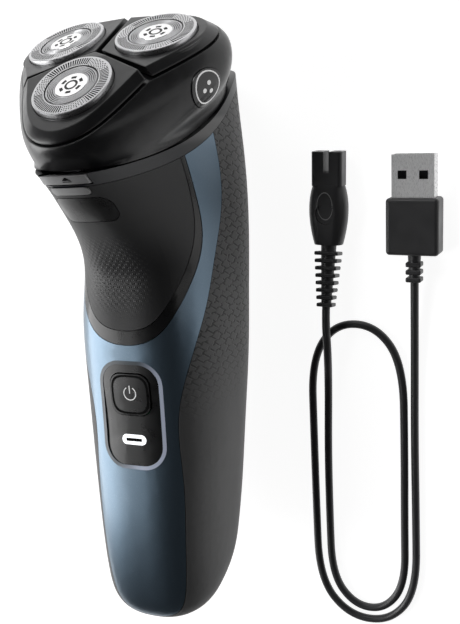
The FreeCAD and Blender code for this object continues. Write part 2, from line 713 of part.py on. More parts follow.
def sector(side, gap):
    """Third of the head around one lobe, kept a gap away from its two neighbours."""
    corner = gap / math.sin(math.radians(60))
    far = 60.0
    spread = math.radians(60)
    points = [Vector(corner, 0, -40), Vector(corner + far * math.cos(spread), -far * math.sin(spread), -40),
              Vector(corner + far, 0, -40),
              Vector(corner + far * math.cos(spread), far * math.sin(spread), -40)]
    prism = Part.Face(Part.makePolygon(points + [points[0]])).extrude(Vector(0, 0, 80))
    prism.Placement = head_local.multiply(turn(Vector(0, 0, 1), SIDES[side][0]))
    return prism


FACET = {"front": -4.3, "right": -4.0, "left": -4.0}      # pods stand on these planes
TOPS = {"front": -1.4, "right": -1.2, "left": -1.2}       # flat tops of the pods


def slab(side, low, high):
    block = Part.makeBox(120, 120, high - low, Vector(-60, -60, low))
    block.Placement = ring_local(side)
    return block


def round_bore(side, radius, low, high):
    tool = Part.makeCylinder(radius, high - low, Vector(0, 0, low))
    tool.Placement = ring_local(side)
    return tool


housing = unit_outer
room = unit_inner
for side in SIDES:
    wedge = sector(side, 0.0)
    housing = housing.cut(wedge.common(slab(side, FACET[side], 40.0)))
    room = room.cut(wedge.common(slab(side, FACET[side] - 1.6, 40.0)))
housing = housing.cut(room)
for side in SIDES:
    housing = housing.cut(round_bore(side, read("skirt_radius") + 0.8, -30.0, 20.0).common(
        slab(side, -9.0, 20.0)))
BADGE = (5.2, 150.0)             # centre of the round badge on the right cheek (y, z)
badge_seat = Part.makeCylinder(4.95, 80, Vector(0, *BADGE), Vector(1, 0, 0))
housing = housing.cut(badge_seat.common(unit_loft(1.0).cut(unit_loft(-0.5))))
head_housing = shaped("head_housing", solid_of(housing))

pods = {}
guards = {}
cutters = {}
for side in SIDES:
    pod_gap = 1.0
    block = unit_outer.common(sector(side, pod_gap)).common(slab(side, FACET[side] + 0.65, TOPS[side]))
    skirt = round_bore(side, read("skirt_radius"), -read("pod_depth"), TOPS[side] - 0.4)
    skirt = skirt.common(sector(side, pod_gap))
    pod = block.fuse(skirt)
    pod = pod.cut(round_bore(side, read("pod_bore"), -20, 20))
    pod = pod.cut(round_bore(side, read("flange_bore"), -20, -4.1))
    lip = round_bore(side, read("flange_bore") + 0.1, -7.6, -6.8).cut(
        round_bore(side, read("retainer_hole"), -9, 0))
    pods[side] = shaped(f"pod_{side}", solid_of(pod.fuse(lip.common(sector(side, pod_gap)))))
    ring_place = HEAD.multiply(ring_frame(side))
    guards[side] = spun(f"guard_{side}", [
        ("0", "- guard_plate"), ("0", "0"), ("disc_radius", "0"), ("disc_radius", "- 0.15"),
        ("groove_inner", "- 0.15"), ("groove_inner", "- groove_depth"),
        ("groove_outer", "- groove_depth"), ("groove_outer", "0"), ("guard_radius - 0.4", "0"),
        ("guard_radius", "- 0.4"), ("guard_radius", "- guard_depth + 0.6"),
        ("flange_radius", "- guard_depth + 0.6"), ("flange_radius", "- guard_depth"),
        ("guard_radius - guard_shell", "- guard_depth"),
        ("guard_radius - guard_shell", "- guard_plate"),
    ], ring_place)

    cutter = body(f"cutter_{side}", ring_place)
    profile = sketch(cutter, "XZ_Plane", f"CutterProfile{side}")
    outline(profile, [
        ("0", "- 1.2"), ("hub_radius", "- 1.2"), ("hub_radius", "- cutter_disc"),
        ("cutter_radius", "- cutter_disc"), ("cutter_radius", "- cutter_disc - 0.5"),
        ("hub_radius", "- cutter_disc - 0.5"), ("hub_radius", "- hub_depth"), ("0", "- hub_depth")])
    turned = cutter.newObject("PartDesign::Revolution", f"CutterTurned{side}")
    turned.Profile = profile
    turned.ReferenceAxis = (profile, ["V_Axis"])
    turned.Angle = 360
    blade = sketch(cutter, "XZ_Plane", f"Blade{side}")
    outline(blade, [("blade_inner", "- cutter_disc - 0.2"), ("cutter_radius", "- cutter_disc - 0.2"),
                    ("cutter_radius", "- blade_top"), ("blade_inner", "- blade_top")])
    blade_pad = pad(cutter, blade, "blade_thick", both=True)
    doc.recompute()
    blades = cutter.newObject("PartDesign::PolarPattern", f"Blades{side}")
    blades.Originals = [blade_pad]
    blades.Axis = (profile, ["V_Axis"])
    blades.Angle = 360
    bind(blades, Occurrences="blade_count")
    cutter.Tip = blades
    cutters[side] = cutter

hook_arm = Part.makeBox(5.0, 6.0, 1.4, Vector(-2.5, -22.4, 133.4)).common(unit_inner)
hook_tooth = Part.makeBox(5.0, 1.2, 2.2, Vector(-2.5, -17.6, 131.8))
latch_hook = shaped("latch_hook", solid_of(hook_arm.fuse(hook_tooth)))

plate_slab = Part.makeBox(120, 120, 1.4, Vector(-60, -60, -13.6))
plate_slab.Placement = head_local
frame_plate = unit_inner.common(plate_slab).cut(hook_arm.fuse(hook_tooth))
for side in SIDES:
    frame_plate = frame_plate.cut(round_bore(side, 9.4, -30, 0))
head_frame = shaped("head_frame", solid_of(frame_plate))

hinge_barrel = Part.makeCylinder(1.9, 11.4, Vector(-5.7, *HINGE), Vector(1, 0, 0))
tongue = Part.makeBox(11.4, 8.6, 3.4, Vector(-5.7, HINGE[0] - 8.6, HINGE[1] - 3.2))
barrel = hinge_barrel.fuse(tongue).cut(
    Part.makeCylinder(0.9 + read("bore_gap"), 40, Vector(-20, *HINGE), Vector(1, 0, 0)))
unit_hinge = shaped("unit_hinge", solid_of(barrel.cut(unit_loft(0.0))))

badge_disc = Part.makeCylinder(4.85, 80, Vector(0, *BADGE), Vector(1, 0, 0))
badge_skin = unit_loft(0.22).cut(unit_loft(-0.5))
badge = shaped("badge", solid_of(badge_disc.common(badge_skin)))

# ---------------------------------------------------------------- charging lead
def on_floor(across, high, up, lean):
    """Frame of a piece on the lead: Y along it, towards its tip, Z up from the floor."""
    return Placement(Vector(across, high - read("mid_height"), up), Rotation(Vector(0, 0, 1), -lean))


plug_up = read("grip_height") / 2 + 0.05
relief_length = read("relief_length")
PLUG = on_floor(45.9, 103.2, plug_up, 2.8)        # joint of the connector's body and its relief
USB = on_floor(71.2, 100.2, plug_up, 1.7)          # joint of the grip and its relief


def rounded_section(wide, thick, along, corner=0.45):
    """Rounded rectangle across the lead, at a place along it."""
    half = wide / 2
    deep = thick / 2
    block = Part.makeBox(wide, 1, thick, Vector(-half, along, -deep))
    sharp = [edge for edge in block.Edges if abs(edge.tangentAt(edge.FirstParameter).y) > 0.9]
    rounded = block.makeFillet(corner * min(wide, thick), sharp)
    ends = [face for face in rounded.Faces if abs(face.CenterOfMass.y - along) < 0.001]
    return ends[0].OuterWire


plug_tip_start = read("plug_body_length")
plug_wide = read("plug_body_width")
plug_body = Part.makeLoft([
    rounded_section(8.4, 5.6, 0.0), rounded_section(10.4, 7.0, 4.5),
    rounded_section(plug_wide, 7.6, 9.5), rounded_section(plug_wide - 0.3, 7.4, 13.2),
    rounded_section(read("plug_width"), 5.8, plug_tip_start)], True, False)
plug_tip = Part.makeLoft([
    rounded_section(read("plug_width"), read("plug_height"), plug_tip_start - 0.3, 0.2),
    rounded_section(read("plug_width"), read("plug_height"), plug_tip_start + read("plug_tip"), 0.2)],
    True, True)
plug_whole = plug_body.fuse(plug_tip)
plug_end = plug_tip_start + read("plug_tip")
plug_whole = plug_whole.cut(Part.makeBox(1.6, 6.0, 10, Vector(-0.8, plug_end - 6.0, -5)))
for across in (-read("pin_spacing") / 2, read("pin_spacing") / 2):
    plug_whole = plug_whole.cut(
        Part.makeCylinder(read("pin_radius") + 0.1, 8.6, Vector(across, plug_end + 0.1, 0), Vector(0, -1, 0)))
thumb_dish = Part.makeCylinder(2.9, 1.2, Vector(0, 0, 0))
thumb_dish.Placement = Placement(Vector(0, 9.2, 3.45), Rotation())
connector_body = shaped("connector_body", solid_of(plug_whole.cut(thumb_dish)), PLUG)


def relief(label, frame, length, fins, fin_length, core, widths, heights):
    """Strain relief along -Y: a tapered core with cross fins, ending where the cord leaves it."""
    parts = [Part.makeCone(core, read("cord_diameter") / 2 + 0.25, length, Vector(0, 0, 0), Vector(0, -1, 0))]
    pitch = (length - fin_length) / fins
    for number in range(fins):
        share = number / max(fins - 1, 1)
        wide = widths[0] + (widths[1] - widths[0]) * share
        high = heights[0] + (heights[1] - heights[0]) * share
        low = -(number + 1) * pitch - fin_length
        block = Part.makeBox(wide, fin_length, high, Vector(-wide / 2, low, -high / 2))
        parts.append(block.makeFillet(0.3 * fin_length, block.Edges))
    whole_relief = parts[0]
    for fin in parts[1:]:
        whole_relief = whole_relief.fuse(fin)
    return shaped(label, solid_of(whole_relief), frame)


RELIEF = PLUG.multiply(Placement(Vector(0, 0, 0), Rotation(Vector(1, 0, 0), -read("relief_rise"))))
connector_relief = relief("connector_relief", RELIEF, relief_length, 8, 1.1, 2.3, (7.2, 4.8), (5.2, 4.2))
usb_relief = relief("usb_relief", USB, read("usb_relief_length"), 3, 1.4, 1.9, (4.4, 4.4), (3.8, 3.8))

grip_block = Part.makeBox(read("grip_width"), read("grip_length"), read("grip_height"),
                          Vector(-read("grip_width") / 2, 0, -read("grip_height") / 2))
grip_round = grip_block.makeFillet(1.1, grip_block.Edges)
tongue_block = Part.makeBox(11.0, read("usb_length") - 0.6, 1.8, Vector(-5.5, read("grip_length") - 0.2, -1.8))
usb_grip = shaped("usb_grip", solid_of(grip_round.fuse(tongue_block)), USB)

shell_wall = 0.35
shell_out = box("shell_out", "usb_width", "usb_length", "usb_height")
shell_room = box("shell_room", "usb_width - 0.7", "usb_length + 2.0", "usb_height - 0.7",
                 at(shell_wall, -1.0, shell_wall))
shell_holes = [box(f"shell_hole_{number}", "2.5", "2.4", "usb_height + 2.0", at(left, 5.2, -1.0))
               for number, left in enumerate((1.75, 7.75))]
shell_tools = fuse("shell_tools", [shell_room] + shell_holes)
usb_shell = cut("usb_shell", shell_out, shell_tools, USB.multiply(
    at(-read("usb_width") / 2, read("grip_length"), -read("usb_height") / 2)))

FLOOR = read("cord_diameter") / 2 + 0.05
cord_start = RELIEF.multVec(Vector(0, -relief_length, 0))
cord_lead = RELIEF.multVec(Vector(0, -relief_length - 5.2, 0))
cord_end = USB.multVec(Vector(0, -read("usb_relief_length"), 0))
# The cord's route: (x, height along the shaver, height above the floor).
LOOPS = [(45.0, 71.2, 6.9), (42.8, 58.4, FLOOR), (41.7, 38.0, FLOOR), (41.2, 17.0, FLOOR),
         (41.0, -4.7, FLOOR), (48.0, -14.3, FLOOR), (57.8, -14.4, FLOOR), (64.8, -4.7, FLOOR),
         (65.2, 16.0, FLOOR), (65.9, 40.0, FLOOR), (66.3, 66.8, FLOOR), (58.4, 78.4, FLOOR),
         (45.8, 78.6, FLOOR), (37.8, 67.0, FLOOR), (37.3, 43.0, FLOOR), (36.9, 20.2, FLOOR),
         (36.6, -6.6, FLOOR), (45.8, -18.3, FLOOR), (59.2, -18.4, FLOOR), (68.3, -6.8, FLOOR),
         (68.8, 19.6, FLOOR), (69.1, 44.0, FLOOR), (69.8, 68.4, FLOOR)]
ROUTE = [cord_start, cord_lead] + [Vector(x, z - read("mid_height"), up) for x, z, up in LOOPS] + [cord_end]


def cord_path(points):
    """Straight runs joined by tangent arcs, each as large as its two runs allow."""
    edges = []
    radii = []
    last = points[0]
    for before, corner, after in zip(points, points[1:], points[2:]):
        back = before - corner
        ahead = after - corner
        shorter = min(back.Length, ahead.Length)
        half_turn = (math.pi - back.getAngle(ahead)) / 2
        back.normalize()
        ahead.normalize()
        start = corner + back * (0.45 * shorter)
        end = corner + ahead * (0.45 * shorter)
        radius = 0.45 * shorter / math.tan(half_turn)
        inward = (back + ahead).normalize()
        middle = corner + inward * (radius / math.cos(half_turn) - radius)
        edges.append(Part.LineSegment(last, start).toShape())
        edges.append(Part.Arc(start, middle, end).toShape())
        radii.append(round(radius, 1))
        last = end
    edges.append(Part.LineSegment(last, points[-1]).toShape())
    print("cord radii", radii)
    return Part.Wire(edges)


cord_wire = cord_path(ROUTE)
cord_ring = Part.Wire(Part.Circle(ROUTE[0], ROUTE[1] - ROUTE[0], read("cord_diameter") / 2).toShape())
cord_shape = cord_wire.makePipeShell([cord_ring], True, False)
charging_cord = shaped("charging_cord", cord_shape, Placement())
section = math.pi * (read("cord_diameter") / 2) ** 2
print(f"cord length {cord_wire.Length:.1f}, volume {cord_shape.Volume:.1f} of {section * cord_wire.Length:.1f}")

# ---------------------------------------------------------------- nodes
LEAD = [charging_cord, connector_body, connector_relief, usb_grip, usb_shell, usb_relief]
NODES = [front_shell, neck_trim, neck_panel, label_plate, tab_rest, panel_rim, control_panel,
         light_guide, power_button, rear_grip, collar, release_tab, inlet_socket, inlet_pins,
         inner_frame, battery, battery_tabs, circuit_board, tact_switch,
         button_spring, release_spring, gearbox_cover, gearbox_base, deck, hinge_pin, hinge_lugs,
         motor_can, motor_magnets, motor_armature, motor_shaft, drive_gear, spindle_seals,
         box_screws, head_housing, head_frame, unit_hinge, latch_hook, badge]
for side in SIDES:
    NODES += [spindle_gears[side], spindles[side], pods[side], guards[side], cutters[side]]
NODES += LEAD


def check_and_export():
    doc.recompute()
    for item in doc.Objects:
        if "Invalid" in item.State or "Error" in item.State:
            raise SystemExit(f"{item.Label} failed: {item.State}")
    for name in os.listdir("parts"):
        os.remove(os.path.join("parts", name))
    bounds = FreeCAD.BoundBox()
    for item in NODES:
        shape = item.Shape
        if shape.isNull() or not shape.isValid():
            raise SystemExit(f"{item.Label} has no valid shape")
        shape.exportStep(f"parts/{item.Label}.step")
        if item not in LEAD:
            bounds.add(shape.BoundBox)
        print(f"{item.Label:22s} solids {len(shape.Solids)} volume {shape.Volume:9.1f}")
    print("shaver", bounds)


check_and_export()
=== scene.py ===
"""Looks of the electric shaver and its charging lead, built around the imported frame.

Lengths are in metres. The shaver lies on its back: +Y runs along it to the shaving heads and +Z
points out of its front.
"""

import json
import math

import bmesh
import bpy
from mathutils import Matrix, Vector
from mathutils.bvhtree import BVHTree


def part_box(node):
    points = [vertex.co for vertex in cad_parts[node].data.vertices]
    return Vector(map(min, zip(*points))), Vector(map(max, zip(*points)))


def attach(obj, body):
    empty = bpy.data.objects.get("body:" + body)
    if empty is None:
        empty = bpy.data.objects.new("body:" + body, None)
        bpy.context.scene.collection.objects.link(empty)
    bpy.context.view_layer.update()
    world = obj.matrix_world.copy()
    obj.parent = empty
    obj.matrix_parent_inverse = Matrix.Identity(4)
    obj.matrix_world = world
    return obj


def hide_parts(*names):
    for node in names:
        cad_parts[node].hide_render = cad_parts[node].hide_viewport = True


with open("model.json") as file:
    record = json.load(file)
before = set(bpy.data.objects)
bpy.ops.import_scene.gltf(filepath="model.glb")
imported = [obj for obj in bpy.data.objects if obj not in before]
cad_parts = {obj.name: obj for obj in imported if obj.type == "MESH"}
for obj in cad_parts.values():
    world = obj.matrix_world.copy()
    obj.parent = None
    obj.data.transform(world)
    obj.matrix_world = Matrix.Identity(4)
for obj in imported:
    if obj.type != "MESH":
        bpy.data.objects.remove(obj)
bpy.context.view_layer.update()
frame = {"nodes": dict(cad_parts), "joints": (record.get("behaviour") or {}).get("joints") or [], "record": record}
nodes = frame["nodes"]
joints = {joint["name"]: joint for joint in frame["joints"]}
scene = bpy.context.scene
MM = 0.001
SIDES = ("front", "right", "left")

# ---------------------------------------------------------------- camera
# Sensor width and focal length are in millimetres.
SENSOR = 36.0
LENS = 55.996
camera_data = bpy.data.cameras.new("camera")
camera_data.sensor_width = SENSOR
camera_data.lens = LENS
camera_data.shift_x = 0.0166
camera_data.clip_start = 0.01
camera = bpy.data.objects.new("camera", camera_data)
scene.collection.objects.link(camera)
CAMERA_PLACE = (0.13666, 0.06281, 0.27366)
CAMERA_BACK = Vector((0.41827, 0.21287, 0.88303)).normalized()
CAMERA_RIGHT = Vector((0.90796, -0.07036, -0.41311))
camera_right = (CAMERA_RIGHT - CAMERA_BACK * CAMERA_RIGHT.dot(CAMERA_BACK)).normalized()
camera_up = CAMERA_BACK.cross(camera_right)
camera_turn = Matrix((camera_right, camera_up, CAMERA_BACK)).transposed().to_4x4()
camera.matrix_world = Matrix.Translation(CAMERA_PLACE) @ camera_turn
scene.camera = camera


# ---------------------------------------------------------------- materials
class Shader:
    """A material made of nodes, with short calls for the ones used here."""

    def __init__(self, name, color, roughness, metallic=0.0, coat=0.0, specular=0.5, sheen=0.0):
        self.material = bpy.data.materials.new(name)
        self.material.use_nodes = True
        self.tree = self.material.node_tree
        self.main = self.tree.nodes["Principled BSDF"]
        self.main.inputs["Base Color"].default_value = (*color, 1)
        self.main.inputs["Roughness"].default_value = roughness
        self.main.inputs["Metallic"].default_value = metallic
        self.main.inputs["Coat Weight"].default_value = coat
        self.main.inputs["Coat Roughness"].default_value = 0.08
        self.main.inputs["Specular IOR Level"].default_value = specular
        self.main.inputs["Sheen Weight"].default_value = sheen
        self.place = self.add("ShaderNodeTexCoord").outputs["Object"]

    def add(self, kind, **values):
        node = self.tree.nodes.new(kind)
        for key, value in values.items():
            setattr(node, key, value)
        return node

    def link(self, source, target):
        self.tree.links.new(source, target)

    def value(self, number_or_socket, socket):
        if isinstance(number_or_socket, (int, float)):
            socket.default_value = number_or_socket
        else:
            self.link(number_or_socket, socket)

    def math(self, operation, first, second=0.0, third=0.0):
        node = self.add("ShaderNodeMath", operation=operation)
        for socket, given in zip(node.inputs, (first, second, third)):
            self.value(given, socket)
        return node.outputs[0]

    def smooth(self, value, low, high, start=0.0, end=1.0):
        node = self.add("ShaderNodeMapRange", interpolation_type="SMOOTHSTEP")
        for socket, given in zip(node.inputs, (value, low, high, start, end)):
            self.value(given, socket)
        return node.outputs[0]

    def axes(self):
        node = self.add("ShaderNodeSeparateXYZ")
        self.link(self.place, node.inputs[0])
        return node.outputs[0], node.outputs[1], node.outputs[2]

    def noise(self, size, detail=3.0, where=None):
        """Noise whose features measure about size metres."""
        node = self.add("ShaderNodeTexNoise")
        node.inputs["Scale"].default_value = 1 / size
        node.inputs["Detail"].default_value = detail
        self.link(where or self.place, node.inputs["Vector"])
        return node.outputs["Fac"]

    def mix(self, share, first, second):
        """Colour between first and second."""
        node = self.add("ShaderNodeMix", data_type="RGBA")
        self.value(share, node.inputs["Factor"])
        for socket, given in ((node.inputs["A"], first), (node.inputs["B"], second)):
            if isinstance(given, tuple):
                socket.default_value = (*given, 1)
            else:
                self.link(given, socket)
        return node.outputs["Result"]

    def color(self, source):
        self.link(source, self.main.inputs["Base Color"])

    def rough(self, source):
        self.link(source, self.main.inputs["Roughness"])

    def bump(self, height, depth, strength=1.0):
        """Relief of depth metres where height goes from 0 to 1; calls add up."""
        node = self.add("ShaderNodeBump")
        node.inputs["Strength"].default_value = strength
        node.inputs["Distance"].default_value = depth
        self.link(height, node.inputs["Height"])
        normal = self.main.inputs["Normal"]
        if normal.is_linked:
            self.link(normal.links[0].from_socket, node.inputs["Normal"])
        self.link(node.outputs[0], normal)

    def soften(self, radius):
        """Round the look of sharp edges by radius metres."""
        node = self.add("ShaderNodeBevel", samples=6)
        node.inputs["Radius"].default_value = radius
        self.link(node.outputs[0], self.main.inputs["Normal"])


def shade(color, factor):
    return tuple(min(channel * factor, 1.0) for channel in color)


def moulded(name, color, roughness, grain=0.00035, depth=0.00002, vary=0.12, edge=0.0, **more):
    """Moulded plastic or rubber: fine grain, slight colour and gloss variation."""
    made = Shader(name, color, roughness, **more)
    if edge:
        made.soften(edge)
    made.color(made.mix(made.noise(0.012), shade(color, 1 - vary), shade(color, 1 + vary)))
    made.rough(made.smooth(made.noise(0.004), 0.3, 0.7, roughness * 0.88, min(roughness * 1.12, 1)))
    made.bump(made.noise(grain, 2.0), depth, 0.5)
    return made


def metal(name, color, roughness, depth=0.00001, stretch=(1, 14, 1), share=1.0):
    """Metal with fine drawn lines."""
    made = Shader(name, color, roughness, metallic=share)
    mapping = made.add("ShaderNodeMapping")
    mapping.inputs["Scale"].default_value = stretch
    made.link(made.place, mapping.inputs["Vector"])
    lines = made.noise(0.0009, 3.0, mapping.outputs[0])
    made.color(made.mix(lines, shade(color, 0.82), shade(color, 1.12)))
    made.rough(made.smooth(lines, 0.25, 0.75, roughness * 0.8, roughness * 1.25))
    made.bump(lines, depth, 0.4)
    return made


def blue_lacquer():
    """Metallic slate-blue lacquer with fine flakes under a clear coat."""
    blue = (0.115, 0.165, 0.215)
    made = Shader("blue_lacquer", blue, 0.36, metallic=0.9, coat=0.3)
    made.main.inputs["Coat Roughness"].default_value = 0.22
    flakes = made.noise(0.00016, 1.0)
    patches = made.mix(made.noise(0.02), shade(blue, 0.94), shade(blue, 1.06))
    made.color(made.mix(made.smooth(flakes, 0.55, 0.75, 0.0, 0.3), patches, (0.24, 0.3, 0.36)))
    made.rough(made.smooth(flakes, 0.3, 0.7, 0.34, 0.42))
    made.bump(flakes, 0.000004, 0.5)
    return made


# Scales counted per metre of depth and of length: in rows, and along a row.
SCALE_ROWS = (110.0, 360.0)
SCALE_CELLS = (190.0, 385.0)
# The scales fade out between these places along the grip.
GRIP_FADE_LOW = -0.028
GRIP_FADE_HIGH = 0.002
DOT_PITCH = 0.0019
NECK_DOTS_Y = 0.0205


def scaled_grip():
    """Rubbery grip with rows of scalloped scales that fade out towards the base; the grooves between the scales
    are coloured near black as painted shade.
    """
    grey = (0.052, 0.052, 0.053)
    made = Shader("scaled_grip", grey, 0.62, sheen=0.15)
    across, along, up = made.axes()
    deep = made.math("SUBTRACT", made.math("ABSOLUTE", across), up)
    rows = [made.math("MULTIPLY", place, count) for place, count in zip((deep, along), SCALE_ROWS)]
    cells = [made.math("MULTIPLY", place, count) for place, count in zip((deep, along), SCALE_CELLS)]
    row = made.math("SUBTRACT", *rows)
    cell = made.math("ADD", *cells)
    wave = made.math("SINE", made.math("MULTIPLY", cell, 2 * math.pi))
    row = made.math("ADD", row, made.math("MULTIPLY", wave, 0.1))
    parity = made.math("FLOORED_MODULO", made.math("FLOOR", row), 2.0)
    cell = made.math("ADD", cell, made.math("MULTIPLY", parity, 0.5))
    to_row = made.math("PINGPONG", row, 0.5)
    to_cell = made.math("PINGPONG", cell, 0.5)
    edge = made.math("MINIMUM", to_row, made.math("MULTIPLY", to_cell, 1.15))
    line = made.smooth(edge, 0.07, 0.16, 1.0, 0.0)
    fade = made.smooth(along, GRIP_FADE_LOW, GRIP_FADE_HIGH)
    broken = made.smooth(made.noise(0.0014), 0.38, 0.52, 0.15, 1.0)
    strength = made.math("MULTIPLY", made.math("MULTIPLY", line, fade), broken)
    tone = made.mix(made.noise(0.01), shade(grey, 0.9), shade(grey, 1.12))
    # Painted shade: the grooves between the scales are coloured near black, on top of their bump relief.
    made.color(made.mix(strength, tone, (0.003, 0.003, 0.003)))
    made.bump(made.math("SUBTRACT", 1.0, strength), 0.00016, 0.9)
    made.bump(made.noise(0.0003, 2.0), 0.00002, 0.5)
    return made


def dotted_neck():
    """Soft-touch neck with a diagonal lattice of raised dots that fades out all round; the dot tops carry a
    painted highlight and the pits between them painted shade.
    """
    black = (0.015, 0.015, 0.016)
    made = Shader("dotted_neck", black, 0.5, specular=0.4, sheen=0.08)
    across, along, _ = made.axes()
    first = made.math("DIVIDE", made.math("ADD", across, along), DOT_PITCH)
    second = made.math("DIVIDE", made.math("SUBTRACT", along, across), DOT_PITCH)
    one = made.math("SUBTRACT", made.math("FRACT", first), 0.5)
    two = made.math("SUBTRACT", made.math("FRACT", second), 0.5)
    squares = made.math("ADD", made.math("MULTIPLY", one, one), made.math("MULTIPLY", two, two))
    reach = made.math("SQRT", squares)
    dot = made.smooth(reach, 0.08, 0.24, 1.0, 0.0)
    pit_one = made.math("SUBTRACT", made.math("ABSOLUTE", one), 0.5)
    pit = made.math("MULTIPLY", pit_one, pit_one)
    pit_two = made.math("SUBTRACT", made.math("ABSOLUTE", two), 0.5)
    pit = made.math("SQRT", made.math("ADD", pit, made.math("MULTIPLY", pit_two, pit_two)))
    hole = made.smooth(pit, 0.08, 0.22, 1.0, 0.0)
    low = made.smooth(along, NECK_DOTS_Y - 0.016, NECK_DOTS_Y - 0.001)
    high = made.smooth(along, NECK_DOTS_Y + 0.001, NECK_DOTS_Y + 0.011, 1.0, 0.0)
    side = made.math("ABSOLUTE", made.math("ADD", across, 0.002))
    wide = made.smooth(side, 0.003, 0.013, 1.0, 0.0)
    window = made.math("MULTIPLY", made.math("MULTIPLY", low, high), wide)
    tone = made.mix(made.noise(0.01), shade(black, 0.9), shade(black, 1.15))
    # Painted shade: the pits between the dots are coloured near black.
    pitted = made.mix(made.math("MULTIPLY", hole, window), tone, (0.004, 0.004, 0.004))
    raised = made.math("MULTIPLY", made.math("MULTIPLY", dot, window), 0.45)
    # Painted highlight: the raised dots are coloured a lighter grey than the black around them.
    made.color(made.mix(raised, pitted, (0.12, 0.12, 0.12)))
    made.bump(made.math("MULTIPLY", made.math("SUBTRACT", dot, hole), window), 0.00018, 0.9)
    made.bump(made.noise(0.0003, 2.0), 0.00002, 0.5)
    return made


def rim_painted_reflection():
    """Blue rim of the control panel: deep blue at its upper left, turning pale at its lower right as a painted
    reflection.
    """
    made = Shader("light_rim", (0.2, 0.25, 0.3), 0.4, coat=0.2)
    across, along, _ = made.axes()
    slope = made.math("ADD", across, made.math("MULTIPLY", along, -0.3))
    share = made.smooth(made.math("ADD", slope, -0.0105), -0.006, 0.004)
    # Painted reflection: the deep blue is the rim's own colour, the pale lilac towards the lower right is painted
    # reflection.
    made.color(made.mix(share, (0.02, 0.035, 0.05), (0.6, 0.66, 0.82)))
    made.rough(made.smooth(made.noise(0.004), 0.3, 0.7, 0.36, 0.44))
    return made


def banded_collar():
    """Nearly black collar with a short grey band at its right end."""
    made = Shader("collar", (0.008, 0.009, 0.012), 0.38)
    across, along, _ = made.axes()
    low = made.smooth(along, 0.0515, 0.0545)
    high = made.smooth(along, 0.0575, 0.0595, 1.0, 0.0)
    side = made.smooth(across, 0.015, 0.02)
    share = made.math("MULTIPLY", made.math("MULTIPLY", low, high), side)
    tone = made.mix(made.noise(0.01), (0.007, 0.008, 0.011), (0.01, 0.011, 0.014))
    made.color(made.mix(share, tone, (0.085, 0.085, 0.085)))
    made.bump(made.noise(0.0003, 2.0), 0.00001, 0.5)
    return made


def glowing(name, color, strength):
    made = Shader(name, color, 0.35)
    made.main.inputs["Emission Color"].default_value = (*color, 1)
    made.main.inputs["Emission Strength"].default_value = strength
    made.color(made.mix(made.noise(0.002), shade(color, 0.96), color))
    return made


FINISHES = {
    "blue_shell": blue_lacquer(),
    "gloss_black": moulded("gloss_black", (0.006, 0.006, 0.0065), 0.3, 0.003, 0.000001, coat=0.12,
                           specular=0.4),
    "soft_black": moulded("soft_black", (0.02, 0.02, 0.021), 0.48, sheen=0.1),
    "grip_rubber": scaled_grip(),
    "grey_plastic": moulded("grey_plastic", (0.26, 0.26, 0.262), 0.42),
    "light_rim": rim_painted_reflection(),
    "white_light": glowing("white_light", (0.95, 0.97, 1.0), 0.9),
    "guard_steel": metal("guard_steel", (0.6, 0.6, 0.61), 0.32, stretch=(3, 3, 3)),
    "cutter_steel": metal("cutter_steel", (0.6, 0.6, 0.61), 0.28),
    "steel": metal("plain_steel", (0.56, 0.56, 0.58), 0.34),
    "gear_plastic": moulded("gear_plastic", (0.72, 0.71, 0.66), 0.4),
    "frame_plastic": moulded("frame_plastic", (0.06, 0.06, 0.065), 0.5),
    "board_green": moulded("board_green", (0.02, 0.13, 0.05), 0.35),
    "cell_wrap": moulded("cell_wrap", (0.05, 0.16, 0.38), 0.3, coat=0.3),
    "copper": metal("copper", (0.72, 0.36, 0.2), 0.35, stretch=(14, 1, 14)),
    "magnet": moulded("magnet", (0.05, 0.05, 0.055), 0.6, metallic=0.4),
    "seal_rubber": moulded("seal_rubber", (0.02, 0.02, 0.02), 0.7),
    "cord_rubber": moulded("cord_rubber", (0.034, 0.034, 0.036), 0.42, sheen=0.1),
    "usb_steel": metal("usb_steel", (0.92, 0.92, 0.93), 0.3, stretch=(14, 1, 1), share=0.25),
    "badge_white": moulded("badge_black", (0.008, 0.008, 0.009), 0.3, coat=0.3),
    "contact_brass": metal("contact_brass", (0.78, 0.6, 0.3), 0.3),
}
NECK = dotted_neck()
COLLAR = banded_collar()
HEAD_BLACK = moulded("head_black", (0.007, 0.007, 0.008), 0.34, 0.0004, 0.000004, edge=0.0006, coat=0.1,
                     specular=0.45)
# White print given a faint glow: the glow is painted light, the print is no lamp.
PRINT_WHITE_PAINTED_GLOW = glowing("print_white_painted_glow", (0.86, 0.86, 0.86), 0.25)
# Near black for the prints, and for the painted shade of the gap round the power button.
BLACK_PRINT_AND_GAP_SHADE = moulded("black_print_and_gap_shade", (0.002, 0.002, 0.002), 0.6, specular=0.05)
# Near black for the printed marks on the middle disc of the shaving rings, and painted shade on their slot walls,
# slot floors and groove floors.
DARK_MARKS_AND_SLOT_SHADE = moulded("dark_marks_and_slot_shade", (0.012, 0.012, 0.012), 0.6)
DISC_STEEL = metal("disc_steel", (0.9, 0.9, 0.9), 0.16, stretch=(2, 2, 2))
SLOT_OF = {item["node"]: item["material_slot"] for item in frame["record"]["subparts"]}


def finish(piece, shader):
    piece.data.materials.clear()
    piece.data.materials.append(shader.material)


SMOOTH_ANGLE = math.radians(32)
for name, node in nodes.items():
    finish(node, FINISHES[SLOT_OF[name]])
    node.data.shade_smooth()
    node.data.set_sharp_from_angle(angle=SMOOTH_ANGLE)
    even = node.modifiers.new("even_shading", "WEIGHTED_NORMAL")
    even.keep_sharp = True
finish(nodes["neck_panel"], NECK)
finish(nodes["collar"], COLLAR)
for name in ("head_housing", "pod_front", "pod_right", "pod_left"):
    finish(nodes[name], HEAD_BLACK)


